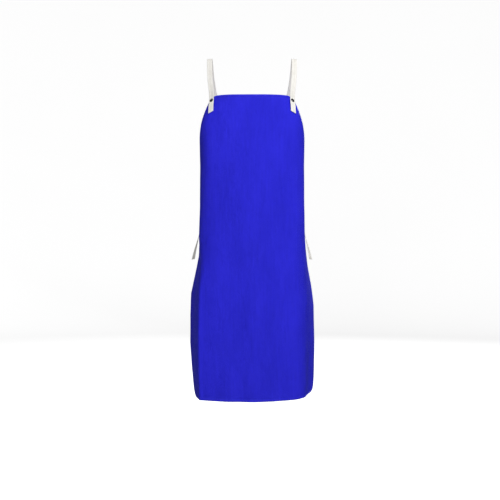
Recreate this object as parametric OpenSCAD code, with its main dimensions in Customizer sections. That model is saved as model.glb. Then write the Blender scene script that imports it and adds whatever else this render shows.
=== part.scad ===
// Protective lead apron with cross-back shoulder straps, in the shape it takes when worn.
// Millimetres. +Z is up and the wearer faces -Y. X = 0 is the middle of the apron, Y = 0 the line
// of the shoulders, and Z = 0 the underside of the straps where they rest on the shoulders.
// Left and right are the wearer's, so left is +X.

/* [Panel] */
// Height of the panel from the bib's top edge to the hem
panel_h = 1092; // [1060:2:1120]
// Width of the panel laid flat, across the skirt
flat_w = 600; // [590:2:610]
// Width of the bib's top edge laid flat
bib_w = 348; // [340:2:356]
// How far the bib's top edge lies below the shoulders
bib_drop = 150; // [146:1:154]
// Height over which the armholes widen from the bib to the full width
armhole_h = 320; // [300:5:340]
// Radius of the bib's top corners
bib_corner_r = 50; // [46:1:54]
// Radius of the hem's corners
hem_corner_r = 50; // [40:2:60]
// How much higher the hem hangs at its corners than in the middle
hem_sweep = 20; // [10:2:24]

/* [Layers] */
// Thickness of each coated fabric cover
cover_t = 0.8; // [0.6:0.1:0.9]
// Thickness of each of the two lead vinyl sheets
lead_t = 1; // [0.8:0.1:1.1]
// Gap between neighbouring layers
layer_gap = 0.2; // [0.15:0.05:0.3]
// How far the lead sheets stop short of the panel's edge
lead_margin = 13; // [11:1:15]
// Width of the binding tape on each face
binding_w = 7.5; // [7:0.5:8]
// Thickness of the binding tape
binding_t = 0.6; // [0.5:0.1:0.8]

/* [Straps] */
// Width of the strap webbing
strap_w = 20; // [18:1:20]
// Thickness of the strap webbing
strap_t = 1.6; // [1.2:0.1:1.7]
// Length of strap that hangs below each press stud
strap_end_drop = 38; // [34:1:42]
// Extra height of the left strap where it crosses over the right one
crossing_lift = 3.2; // [2.6:0.1:4]

/* [Press studs] */
// Radius of the stud's cap
cap_r = 7.5; // [7:0.1:7.8]
// Radius of the stud's head
stud_r = 3.2; // [3:0.05:3.3]
// Clearance between the stud's head and its socket
stud_clearance = 0.35; // [0.25:0.05:0.4]

/* [Buckles] */
// Width of the side-release buckles
buckle_w = 29; // [28.5:0.1:29.5]
// Thickness of the buckles
buckle_t = 8.4; // [8:0.1:9]
// Radius of the bars that carry webbing
bar_r = 1.3; // [1.2:0.05:1.4]

/* [Hidden] */
$fn = 48;

// ---- Vectors -------------------------------------------------------------------------------

function unit(v) = v / norm(v);
function across(v, n) = v - (v * n) * n;

// ---- The panel's outline, laid flat -----------------------------------------------------------

flat_half = flat_w / 2;
bib_half = bib_w / 2;
armhole_power = 1.25;

armhole_start = 28;

// Half width of the flat pattern at depth d below the bib's top edge, drawn in by an inset.
function half_width(d, inset = 0) =
    let (
        armhole_t = min(1, max(0, (d - armhole_start) / (armhole_h - armhole_start))),
        side = bib_half + (flat_half - bib_half) * (1 - pow(1 - armhole_t, armhole_power)) - inset,
        top = max(0, bib_corner_r - (d - inset)),
        hem = max(0, hem_corner_r - (panel_h - inset - d))
    )
    side - (bib_corner_r - sqrt(max(0, bib_corner_r * bib_corner_r - top * top)))
         - (hem_corner_r - sqrt(max(0, hem_corner_r * hem_corner_r - hem * hem)));

// ---- The worn shape -----------------------------------------------------------------------------

// A horizontal section of the worn panel is a shallow front arc, a corner arc and a straight side.
// Each row gives, at a depth: the front's Y, the front arc's length, its turn, the corner's radius
// and the side's heading.
worn_rows = [
    [0, [-108, 150, 12, 70, 86]],
    [60, [-118, 150, 14, 64, 90]],
    [120, [-126, 147, 15, 60, 92]],
    [250, [-133, 146, 16, 58, 92]],
    [400, [-138, 146, 16, 58, 91]],
    [514, [-140, 149, 15, 56, 88]],
    [624, [-142, 154, 14, 52, 86]],
    [697, [-143, 160, 12.5, 48, 82]],
    [771, [-145, 169, 11, 44, 79]],
    [900, [-147, 175, 10, 40, 78]],
    [1000, [-149, 174, 10, 40, 80]],
    [1200, [-151, 165, 10, 40, 86]]];
function worn(d, k) = lookup(d, [for (row = worn_rows) [row[0], row[1][k]]]);

// Point of a section at arc length s from the middle, before the corner's curl.
function section_point(s, front_y, front_len, front_turn, corner_r, side_turn) =
    let (
        front_r = front_len / (front_turn * PI / 180),
        corner_len = corner_r * (side_turn - front_turn) * PI / 180,
        turn = s < front_len ? s / front_r * 180 / PI
            : front_turn + min(side_turn - front_turn, (s - front_len) / corner_r * 180 / PI),
        front_s = min(turn, front_turn),
        rest = max(0, s - front_len - corner_len)
    )
    [front_r * sin(front_s) + corner_r * (sin(turn) - sin(front_s)) + rest * cos(side_turn),
     front_y + front_r * (1 - cos(front_s)) + corner_r * (cos(front_s) - cos(turn))
         + rest * sin(side_turn)];

// The straps pull the bib's corners back: within curl_reach of the corner, measured along the
// diagonal, the panel bends away from its front with this radius.
curl_reach = 80;
curl_r = 78;
function curl(s, d) =
    let (reach = max(0, curl_reach - (bib_half - s + d) * sqrt(0.5)))
    reach * reach / (2 * curl_r);

// Mid-surface point of the worn panel at flat position (s, d).
function panel_mid(s, d) =
    let (
        a = abs(s),
        p = section_point(a, worn(d, 0), worn(d, 1), worn(d, 2), worn(d, 3), worn(d, 4)),
        q = section_point(a + 1, worn(d, 0), worn(d, 1), worn(d, 2), worn(d, 3), worn(d, 4)),
        along = unit(q - p),
        back = curl(a, d)
    )
    [(s < 0 ? -1 : 1) * (p.x - along.y * back), p.y + along.x * back,
     -bib_drop - d + hem_sweep * pow(a / flat_half * d / panel_h, 2)];

// Outward normal of the worn panel.
function panel_normal(s, d) =
    let (step = 2, fold = s < 0 ? -1 : 1, a = max(step, abs(s)) * fold)
    unit(cross(panel_mid(a + step, d) - panel_mid(a - step, d),
               panel_mid(a, d - step) - panel_mid(a, d + step)));
function panel_point(s, d, out) = panel_mid(s, d) + panel_normal(s, d) * out;

// ---- Sheets and ribbons ---------------------------------------------------------------------------

// All layers share one grid of rows and columns, so that their facets lie parallel. The lead
// sheets end at its inner part, and the covers go on past them to the panel's edge.
cover_inset = 0.4;
edge_strip = 9;
col_shares = [0, 0.17, 0.34, 0.5, 0.58, 0.65, 0.72, 0.79, 0.86, 0.93, 1];
lead_rows = concat([lead_margin],
    [for (d = [20, 28, 38, 50, 64, 80, 105, 135, 170, 210, 260, 320, 430, 540, 650, 760, 880, 980,
        1030, 1046, 1060, 1070]) d * panel_h / 1092],
    [panel_h - lead_margin]);
edge_rows = [cover_inset, 2, 5, 9];
cover_rows = concat(edge_rows, lead_rows, [for (i = [3:-1:0]) panel_h - edge_rows[i]]);

function lead_half(d) = half_width(min(panel_h - lead_margin, max(lead_margin, d)), lead_margin);
function columns(d, cover) =
    let (
        lead_edge = lead_half(d),
        cover_edge = half_width(d, cover_inset),
        inner = [for (share = col_shares) share * lead_edge],
        outer = [(lead_edge + cover_edge - edge_strip) / 2, cover_edge - edge_strip, cover_edge],
        half = cover ? concat(inner, outer) : inner
    )
    concat([for (i = [len(half) - 1:-1:1]) -half[i]], half);

// One layer of the panel between two offsets from the mid-surface.
module sheet(out_low, out_high, cover) {
    depths = cover ? cover_rows : lead_rows;
    grid = [for (d = depths) columns(d, cover)];
    cols = len(grid[0]);
    rows = len(depths);
    count = cols * rows;
    function layer(out) = [for (r = [0:rows - 1], s = grid[r]) panel_point(s, depths[r], out)];
    function at(r, c, high) = r * cols + c + (high ? count : 0);
    // Each cell is cut along the diagonal that rises away from the middle, on either side.
    front = [for (r = [0:rows - 2], c = [0:cols - 2], tri = [0, 1])
        let (
            a = at(r, c, true), b = at(r, c + 1, true),
            e = at(r + 1, c, true), f = at(r + 1, c + 1, true)
        )
        c < (cols - 1) / 2 ? (tri == 0 ? [a, b, f] : [a, f, e]) : (tri == 0 ? [a, b, e] : [b, f, e])];
    back = [for (f = front) [f[2] - count, f[1] - count, f[0] - count]];
    loop = concat([for (c = [0:cols - 2]) [0, c]], [for (r = [0:rows - 2]) [r, cols - 1]],
        [for (c = [cols - 1:-1:1]) [rows - 1, c]], [for (r = [rows - 1:-1:1]) [r, 0]]);
    rim = [for (i = [0:len(loop) - 1], tri = [0, 1])
        let (a = loop[i], b = loop[(i + 1) % len(loop)])
        tri == 0 ? [at(a[0], a[1], true), at(b[0], b[1], false), at(b[0], b[1], true)]
                 : [at(a[0], a[1], true), at(a[0], a[1], false), at(b[0], b[1], false)]];
    polyhedron(concat(layer(out_low), layer(out_high)), concat(front, back, rim));
}

function curve_at(p, u) =
    let (
        last = len(p) - 1,
        i = min(last - 1, floor(u)),
        t = u - i,
        a = p[max(0, i - 1)], b = p[i], c = p[i + 1], e = p[min(last, i + 2)]
    )
    0.5 * (2 * b + (c - a) * t + (2 * a - 5 * b + 4 * c - e) * t * t
        + (3 * b - a - 3 * c + e) * t * t * t);

// A flat band of a cross-section w by t along a smooth curve through points, facing the hints.
module ribbon(points, hints, steps, from = 0, to = undef, w = strap_w, t = strap_t) {
    end = is_undef(to) ? len(points) - 1 : to;
    n = ceil((end - from) * steps);
    us = [for (i = [0:n]) from + (end - from) * i / n];
    path = [for (u = us) curve_at(points, u)];
    rings = [for (i = [0:n])
        let (
            dir = unit(path[min(n, i + 1)] - path[max(0, i - 1)]),
            out = unit(across(curve_at(hints, us[i]), dir)),
            side = cross(dir, out)
        )
        each [for (k = [[-1, -1], [1, -1], [1, 1], [-1, 1]])
            path[i] + side * k[0] * w / 2 + out * k[1] * t / 2]];
    walls = [for (i = [0:n - 1], k = [0:3], tri = [0, 1])
        let (a = 4 * i + k, b = 4 * i + (k + 1) % 4)
        tri == 0 ? [a, b, b + 4] : [a, b + 4, a + 4]];
    polyhedron(rings, concat([[0, 2, 1], [0, 3, 2]], walls,
        [[4 * n, 4 * n + 1, 4 * n + 2], [4 * n, 4 * n + 2, 4 * n + 3]]));
}

// Children drawn for the left side, mirrored for the right.
module on_side(left) {
    if (left) children();
    else mirror([1, 0, 0]) children();
}

// Children drawn with their X, Y and Z along side, along and out.
module in_frame(origin, along, out) {
    side = cross(along, out);
    multmatrix([[side.x, along.x, out.x, origin.x],
                [side.y, along.y, out.y, origin.y],
                [side.z, along.z, out.z, origin.z],
                [0, 0, 0, 1]])
        children();
}

// ---- Panel layers ---------------------------------------------------------------------------------

stack_half = 1.5 * layer_gap + lead_t + cover_t;

module front_cover() {
    color("mediumblue") sheet(stack_half - cover_t, stack_half, true);
}

module back_cover() {
    color("midnightblue") sheet(-stack_half, cover_t - stack_half, true);
}

module lead_sheet_front() {
    color("dimgray") sheet(layer_gap / 2, layer_gap / 2 + lead_t, false);
}

module lead_sheet_back() {
    color("slategray") sheet(-layer_gap / 2 - lead_t, -layer_gap / 2, false);
}

// Tape folded over the whole edge: a U-shaped section swept round the outline.
binding_clearance = 0.5;
edge_gap = 0.1;
module edge_binding() {
    down = [for (d = cover_rows) if (d > cover_inset && d < panel_h - cover_inset) d];
    top_s = columns(cover_inset, true);
    hem_s = columns(panel_h - cover_inset, true);
    last = len(top_s) - 1;
    outline = concat(
        [for (i = [1:last - 1]) [top_s[i], 0]],
        [for (d = down) [half_width(d), d]],
        [for (i = [last - 1:-1:1]) [hem_s[i], panel_h]],
        [for (i = [len(down) - 1:-1:0]) [-half_width(down[i]), down[i]]]);
    n = len(outline);
    reach = stack_half + binding_clearance;
    // Section points as [distance inward from the edge, offset from the mid-surface].
    section = [[binding_w, reach], [binding_w, reach + binding_t], [-binding_t, reach + binding_t],
        [-binding_t, -reach - binding_t], [binding_w, -reach - binding_t], [binding_w, -reach],
        [edge_gap, -reach], [edge_gap, reach]];
    m = len(section);
    points = [for (i = [0:n - 1])
        let (
            along = unit(outline[(i + 1) % n] - outline[(i + n - 1) % n]),
            inward = [-along.y, along.x]
        )
        each [for (q = section)
            let (f = outline[i] + inward * q[0])
            panel_point(f[0], f[1], q[1])]];
    color("blue") polyhedron(points, [for (i = [0:n - 1], k = [0:m - 1], tri = [0, 1])
        let (
            j = (i + 1) % n, l = (k + 1) % m,
            a = i * m + k, b = i * m + l, c = j * m + l, e = j * m + k
        )
        tri == 0 ? [a, b, c] : [a, c, e]]);
}

// ---- Press studs: one on each corner of the bib -----------------------------------------------------

snap_s = 146;
snap_d = 21;
snap_origin = panel_mid(snap_s, snap_d);
snap_out = panel_normal(snap_s, snap_d);
snap_along = unit(across([0, 0.45, 0.9], snap_out));

flange_r = 5.5;
flange_t = 0.6;
flange_low = stack_half + 0.7;
shank_r = 1.8;
socket_low = flange_low + flange_t + 0.3;
socket_h = 2.9;
socket_bore_h = 2.6;
strap_low = socket_low + socket_h + 0.1;
strap_mid = strap_low + strap_t / 2;
cap_low = strap_low + strap_t + 0.05;
spring_wire_r = 0.3;
spring_z = socket_low + 1.3;
spring_r = stud_r + stud_clearance + spring_wire_r + 0.1;

module at_snap(left) {
    on_side(left) in_frame(snap_origin, snap_along, snap_out) children();
}

module snap_stud(left) {
    neck_r = 2.4;
    head_low = socket_low + 0.9;
    head_h = 1.2;
    color("#26262c") at_snap(left) union() {
        translate([0, 0, flange_low]) cylinder(h = flange_t, r = flange_r);
        translate([0, 0, flange_low]) cylinder(h = head_low - flange_low, r = neck_r);
        translate([0, 0, head_low]) cylinder(h = head_h, r = stud_r);
    }
}

module snap_post(left) {
    color("#26262c") at_snap(left) union() {
        translate([0, 0, -flange_low - flange_t]) cylinder(h = flange_t, r = flange_r);
        translate([0, 0, -flange_low]) cylinder(h = 2 * flange_low, r = shank_r);
    }
}

module snap_socket(left) {
    groove_h = 2 * spring_wire_r + 0.2;
    color("#26262c") at_snap(left) difference() {
        translate([0, 0, socket_low]) cylinder(h = socket_h, r = flange_r);
        translate([0, 0, socket_low - 1])
            cylinder(h = socket_bore_h + 1, r = stud_r + stud_clearance);
        translate([0, 0, spring_z - groove_h / 2])
            cylinder(h = groove_h, r = spring_r + spring_wire_r + 0.1);
    }
}

module snap_spring(left) {
    color("silver") at_snap(left)
        translate([0, 0, spring_z]) rotate_extrude()
            translate([spring_r, 0]) circle(r = spring_wire_r, $fn = 24);
}

module snap_cap(left) {
    dome_h = 2;
    color("#1c1c22") at_snap(left) union() {
        translate([0, 0, cap_low]) rotate_extrude() intersection() {
            translate([0, dome_h - 16]) circle(r = 16, $fn = 160);
            square([cap_r, dome_h]);
        }
        translate([0, 0, socket_low + socket_h - 0.1])
            cylinder(h = cap_low - socket_low - socket_h + 0.2, r = shank_r);
    }
}

// ---- Shoulder straps ---------------------------------------------------------------------------------

// Where the webbing of a strap's front end lies: from its cut end, past the stud, up the chest.
end_points = [
    panel_point(snap_s + 2, snap_d + strap_end_drop, strap_mid - 2.4),
    panel_point(snap_s + 1, snap_d + strap_end_drop / 2, strap_mid - 0.6),
    panel_point(snap_s, snap_d, strap_mid),
    [148, -57, -128],
    [153, -39, -86]];
end_hints = [
    panel_normal(snap_s + 2, snap_d + strap_end_drop),
    panel_normal(snap_s + 1, snap_d + strap_end_drop / 2),
    snap_out,
    [0.42, -0.8, 0.45],
    [0.26, -0.84, 0.48]];

// The rest of the left strap: up to the shoulder, over it, across the back and down to the right.
back_points = [
    [155.5, -20, -43],
    [156, -6, -13],
    [156, 10, strap_t / 2],
    [155, 36, -20],
    [150, 60, -70],
    [138, 84, -128],
    [112, 100, -184],
    [70, 109, -245],
    [0, 113, -345],
    [-70, 109, -444],
    [-120, 98, -518],
    [-150, 84, -567]];
back_hints = [
    [0.2, -0.8, 0.55],
    [0.12, -0.6, 0.8],
    [0.08, 0.05, 1],
    [0.12, 0.8, 0.6],
    [0.2, 0.9, 0.3],
    [0.35, 0.93, 0.2],
    [0.28, 0.95, 0.15],
    [0.16, 0.98, 0.1],
    [0, 1, 0],
    [-0.16, 0.98, 0],
    [-0.38, 0.92, 0],
    [-0.6, 0.8, 0]];

// The straight line of each buckle, drawn here for the left side: from the panel's side edge, up
// and back along the strap that comes to it.
buckle_origin = [184.5, 10, -690];
buckle_along = unit([-0.2, 0.54, 0.82]);
buckle_out = unit(across([0.93, 0.3, 0.05], buckle_along));
function on_buckle(y, z) = buckle_origin + buckle_along * y + buckle_out * z;
function mirrored(p) = [-p.x, p.y, p.z];

plug_travel = 18;
lower_start = 106;
lower_z = -1.4;
strap_points = concat(end_points, back_points,
    [mirrored(on_buckle(lower_start + plug_travel + 6, lower_z))]);
strap_hints = concat(end_hints, back_hints, [mirrored(buckle_out)]);
hinge_u = len(end_points) - 1;
hinge_gap_u = 0.03;
crossing_u = len(end_points) + 8;

// The left strap lifts over the right one where they cross.
function lifted(points, lift) = [for (i = [0:len(points) - 1])
    points[i] + (i == crossing_u ? [0, lift, 0] : [0, 0, 0])];

module strap_end(left) {
    color("ivory") on_side(left)
        ribbon(strap_points, strap_hints, 5, 0, hinge_u - hinge_gap_u);
}

module shoulder_strap(left) {
    color("ivory") on_side(left)
        ribbon(lifted(strap_points, left ? crossing_lift : 0), strap_hints, 3,
            hinge_u + hinge_gap_u);
}

// ---- Side-release buckles ------------------------------------------------------------------------------

housing_low = 28;
mouth_y = 54;
cavity_w = 25;
cavity_t = 5.4;
window_low = 38;
window_high = 50;
tab_bar_y = housing_low + bar_r;
plug_gap = 0.3;
prong_y = mouth_y + 2.6;
prong_x = 9.9;
prong_root_r = 1.7;
prong_t = 4.6;
strap_bar_y = 77;

module in_buckle(left) {
    on_side(left) in_frame(buckle_origin, buckle_along, buckle_out) children();
}

module block(x, y0, y1, z) {
    translate([-x / 2, y0, -z / 2]) cube([x, y1 - y0, z]);
}

// Loop of webbing sewn inside the side edge, which holds the housing by its bar.
module side_tab(left) {
    loop_r = bar_r + 0.3 + strap_t / 2;
    sewn_in = 30;
    edge_d = -buckle_origin.z - bib_drop;
    inner = -stack_half - binding_t - binding_clearance - 1.2;
    lower = [for (z = [inner - 2.2 * strap_t, inner - strap_t / 2])
        panel_point(flat_half - sewn_in, edge_d + 0.9 * sewn_in, z)];
    flat_normal = panel_normal(flat_half - sewn_in, edge_d + 0.9 * sewn_in);
    points = [lower[0], on_buckle(0, -1.4), on_buckle(tab_bar_y - 8, -1.9),
        for (a = [-90:45:90]) on_buckle(tab_bar_y + loop_r * cos(a), loop_r * sin(a)),
        on_buckle(tab_bar_y - 8, 1.9), on_buckle(0, 0.9), lower[1]];
    hints = [-flat_normal, -buckle_out, -buckle_out,
        for (a = [-90:45:90]) cos(a) * buckle_along + sin(a) * buckle_out,
        buckle_out, buckle_out, flat_normal];
    color("ivory") on_side(left) ribbon(points, hints, 3);
}

module buckle_housing(left) {
    slot_w = strap_w + 1;
    color("#1c1c22") in_buckle(left) difference() {
        union() {
            block(buckle_w, housing_low + 2 * bar_r + 5.4, mouth_y, buckle_t);
            for (x = [-1, 1]) translate([x * (buckle_w / 2 - 1.9) - 1.9, housing_low, -2])
                cube([3.8, 10, 4]);
            translate([-buckle_w / 2 + 1, tab_bar_y, 0]) rotate([0, 90, 0])
                cylinder(h = buckle_w - 2, r = bar_r);
        }
        block(cavity_w, window_low - 1, mouth_y + 1, cavity_t);
        for (x = [-1, 1]) translate([x * buckle_w / 2 - 3, window_low, -cavity_t / 2])
            cube([6, window_high - window_low, cavity_t]);
        translate([0, mouth_y + 2, -buckle_t]) cylinder(h = 2 * buckle_t, r = 5);
    }
}

module buckle_plug(left) {
    rail = 3.4;
    color("#1c1c22") in_buckle(left) union() {
        difference() {
            block(buckle_w - 1, mouth_y + plug_gap, mouth_y + 9, buckle_t - 0.6);
            for (x = [-1, 1]) translate([x * prong_x, prong_y, -prong_t / 2 - 0.2])
                cylinder(h = prong_t + 0.4, r = prong_root_r + 0.1);
            for (x = [-1, 1]) translate([x * prong_x - 3.2, mouth_y - 1, -prong_t / 2 - 0.2])
                cube([6.4, prong_y - mouth_y + 1, prong_t + 0.4]);
        }
        block(5, window_low + 1, mouth_y + 1, 3);
        for (x = [-1, 1]) translate([x * (buckle_w / 2 - 0.5 - rail / 2) - rail / 2, mouth_y + 8, -2])
            cube([rail, strap_bar_y + 2 - mouth_y - 8, 4]);
        translate([-buckle_w / 2 + 1.5, strap_bar_y, 0]) rotate([0, 90, 0])
            cylinder(h = buckle_w - 3, r = bar_r);
    }
}

// A spring arm of the plug, hinged at its root. Its outer face swells into the housing's window.
module prong(left, side) {
    outline = [[-1.2, 1], [-1.2, 3], [-0.75, 5], [-0.4, 14.6], [0.6, 16.4], [2.2, 16.4],
        [3.4, 15], [3.1, 13], [2.4, 10], [2.1, 7], [1.7, 4], [1.3, 1]];
    color("#1c1c22") in_buckle(left)
        translate([side * prong_x, prong_y, -prong_t / 2]) mirror([side < 0 ? 1 : 0, 0, 0]) union() {
            cylinder(h = prong_t, r = prong_root_r);
            linear_extrude(prong_t) polygon([for (p = outline) [p[0], -p[1]]]);
        }
}

// The strap's lower end: it comes down to the plug, turns round the plug's bar, and its free end
// falls outward and down beside the panel's edge.
module strap_tail(left) {
    loop_r = bar_r + 0.3 + strap_t / 2;
    points = [on_buckle(lower_start, lower_z), on_buckle(lower_start - 12, -1.8),
        on_buckle(strap_bar_y + 9, -2.2), on_buckle(strap_bar_y + 3.5, -2.4),
        for (a = [-90:-45:-270]) on_buckle(strap_bar_y + loop_r * cos(a), loop_r * sin(a)),
        on_buckle(strap_bar_y + 3.5, 2.4), on_buckle(strap_bar_y + 10, 3.4),
        on_buckle(strap_bar_y + 18, 6.5), on_buckle(strap_bar_y + 22.5, 11.5),
        on_buckle(strap_bar_y + 20, 17), on_buckle(strap_bar_y + 12.5, 19.5),
        [191, 59, -628], [197, 50, -645], [202, 40, -666], [207, 31, -688], [212, 24, -710],
        [218, 16, -740]];
    hints = [-buckle_out, -buckle_out, -buckle_out, -buckle_out,
        for (a = [-90:-45:-270]) cos(a) * buckle_along + sin(a) * buckle_out,
        buckle_out, buckle_out, for (a = [-35, -70, -120, -170]) cos(a) * buckle_out
            + sin(a) * buckle_along,
        [-0.93, -0.25, -0.2], [-0.92, -0.05, -0.2], [-0.9, 0.15, -0.2], [-0.9, 0.3, -0.2],
        [-0.87, 0.45, -0.2], [-0.8, 0.6, -0.2]];
    color("ivory") on_side(left) ribbon(points, hints, 4);
}

// ---- Nodes ---------------------------------------------------------------------------------------------

front_cover();
lead_sheet_front();
lead_sheet_back();
back_cover();
edge_binding();
for (side = ["left", "right"]) {
    left = side == "left";
    snap_stud(left);
    snap_post(left);
    shoulder_strap(left);
    side_tab(left);
    buckle_housing(left);
    strap_end(left);
    snap_cap(left);
    snap_socket(left);
    snap_spring(left);
    buckle_plug(left);
    strap_tail(left);
    prong(left, -1);
    prong(left, 1);
}
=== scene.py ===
"""The looks of a lead apron with cross-back straps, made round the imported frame.

Lengths are millimetres in the apron's own frame until a mesh is made: +Z is up, the wearer faces
-Y and +X is the wearer's left. The panel is one cloth surface, given by a flat position: s, across
from the middle, and d, down from the bib's top edge.
"""
import math

import bpy
import numpy as np
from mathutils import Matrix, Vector


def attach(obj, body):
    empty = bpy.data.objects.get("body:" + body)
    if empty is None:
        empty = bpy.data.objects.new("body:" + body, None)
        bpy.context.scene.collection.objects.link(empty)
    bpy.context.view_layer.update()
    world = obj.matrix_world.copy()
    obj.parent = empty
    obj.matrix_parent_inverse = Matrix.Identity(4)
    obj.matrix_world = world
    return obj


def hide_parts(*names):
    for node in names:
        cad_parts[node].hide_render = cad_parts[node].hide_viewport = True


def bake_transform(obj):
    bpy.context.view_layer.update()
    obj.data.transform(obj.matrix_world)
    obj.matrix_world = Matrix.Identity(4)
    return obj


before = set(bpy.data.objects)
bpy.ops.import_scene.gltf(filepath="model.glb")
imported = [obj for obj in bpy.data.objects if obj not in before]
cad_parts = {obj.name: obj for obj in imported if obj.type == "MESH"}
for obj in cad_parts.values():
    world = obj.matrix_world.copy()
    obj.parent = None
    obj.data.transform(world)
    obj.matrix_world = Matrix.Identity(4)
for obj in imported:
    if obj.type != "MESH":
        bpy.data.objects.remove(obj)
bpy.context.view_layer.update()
MM = 0.001

# ---- The panel's cut -----------------------------------------------------------------------------

PANEL_H = 1092.0
FLAT_HALF = 300.0
BIB_HALF = 174.0
# The bib's top edge hangs this far below the shoulders.
BIB_DROP = 150.0
ARMHOLE_START = 28.0
ARMHOLE_H = 320.0
ARMHOLE_POWER = 1.25
BIB_CORNER_R = 50.0
HEM_CORNER_R = 50.0
# How far each hem corner swings up, as the sides turn back round the wearer.
LEFT_SWEEP, RIGHT_SWEEP = 27.0, 12.0
# Half thickness of the panel's layers, at the middle and where the lead stops short of the edge.
STACK_HALF = 2.1
EDGE_HALF = 1.25
COVER_T = 0.8
LEAD_T = 1.0
LAYER_GAP = 0.2
# The covers and the lead sheets stop this far inside the cut's edge.
COVER_MARGIN = 0.4
LEAD_MARGIN = 13.0
BINDING_W = 7.5


def smooth(t):
    """Eases from 0 to 1 as t goes from 0 to 1."""
    t = np.clip(t, 0, 1)
    return t * t * (3 - 2 * t)


def half_width(d, inset=0.0):
    """Half width of the flat cut at depth d, drawn in by an inset."""
    d = np.asarray(d, float)
    t = np.clip((d - ARMHOLE_START) / (ARMHOLE_H - ARMHOLE_START), 0, 1)
    side = BIB_HALF + (FLAT_HALF - BIB_HALF) * (1 - (1 - t) ** ARMHOLE_POWER) - inset
    top = np.clip(BIB_CORNER_R - (d - inset), 0, BIB_CORNER_R)
    hem = np.clip(HEM_CORNER_R - (PANEL_H - inset - d), 0, HEM_CORNER_R)
    return (
        side
        - (BIB_CORNER_R - np.sqrt(BIB_CORNER_R**2 - top**2))
        - (HEM_CORNER_R - np.sqrt(HEM_CORNER_R**2 - hem**2))
    )


# ---- The worn shape ------------------------------------------------------------------------------

# A horizontal section is a shallow front arc, a corner arc and a straight side. Each row gives, at
# a depth: the front's Y, the front arc's length and turn, the corner's radius, the side's heading.
UPPER_ROWS = [
    (0, -108, 150, 12, 70, 86),
    (60, -118, 150, 14, 64, 90),
    (120, -126, 147, 15, 60, 92),
    (250, -133, 146, 16, 58, 92),
    (400, -138, 146, 16, 58, 91),
    (514, -140, 149, 15, 56, 88),
]
# Below the waist the wearer's left side turns softly and the right side has one sharp crease.
LEFT_ROWS = UPPER_ROWS + [
    (624, -142, 152, 14, 58, 82),
    (697, -143, 151, 12, 60, 75),
    (771, -145, 151, 10, 60, 70),
    (900, -147, 152, 9, 58, 68.5),
    (1000, -149, 152, 9, 56, 69),
    (1200, -151, 150, 9, 54, 73),
]
RIGHT_ROWS = UPPER_ROWS + [
    (580, -141, 158, 13, 34, 83),
    (640, -142, 168, 11, 20, 77),
    (720, -144, 180, 9, 11, 71.5),
    (800, -145, 184, 8.5, 9, 70.5),
    (900, -147, 186, 8, 8, 71),
    (1000, -149, 183, 8, 8, 73.5),
    (1200, -151, 176, 8, 8, 79),
]
# The bib's corners curl back: how far from the corner that starts, and how tightly.
CURL_REACH = 80.0
CURL_R = 78.0
# Flat places of the press studs and of the sharp crease.
SNAP_S = 146.0
SNAP_D = 21.0
CREASE_S = -186.0


def row_value(rows, d, k):
    """Column k of the rows, at depth d."""
    return np.interp(d, [row[0] for row in rows], [row[k] for row in rows])


def soft_noise(x, y, seed):
    """Smooth lattice noise from -1 to 1, one cell to the unit."""
    table = np.random.default_rng(seed).uniform(-1, 1, (64, 64))
    i, j = np.floor(x).astype(int), np.floor(y).astype(int)
    u, v = smooth(x - i), smooth(y - j)
    near = table[i % 64, j % 64] * (1 - u) + table[(i + 1) % 64, j % 64] * u
    far = table[i % 64, (j + 1) % 64] * (1 - u) + table[(i + 1) % 64, (j + 1) % 64] * u
    return near * (1 - v) + far * v


def waves(s, d):
    """How far the cloth stands out of its smooth shape."""
    low = smooth((d - 260) / 760)
    mid = smooth((d - 60) / 240)
    drift = 0.55 * np.sin(d / 240 + 0.8) + 0.3 * np.sin(d / 97)
    hang = 1.9 * np.sin(2 * math.pi * (s + 26) / 126 + drift)
    hang += 0.9 * np.sin(2 * math.pi * s / 71 + 1.4 - 0.8 * drift)
    body = 0.7 * np.sin(2 * math.pi * (s - 0.06 * d) / 88 + 0.5 * drift)
    sag = 1.6 * np.exp(-(((np.abs(s) - 95 + 0.35 * d) / 34) ** 2)) * np.exp(-d / 150)
    crease = 2.6 * np.exp(-(((s - CREASE_S) / 7) ** 2)) * smooth((d - 620) / 160)
    wrinkle = 0.9 * soft_noise(s / 41, d / 105, 3) + 0.4 * soft_noise(s / 19 + d / 160, d / 52, 5)
    wrinkle = wrinkle * smooth((np.hypot(np.abs(s) - SNAP_S, d - SNAP_D) - 14) / 40)
    return low * hang + mid * body + sag + crease + wrinkle


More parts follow.
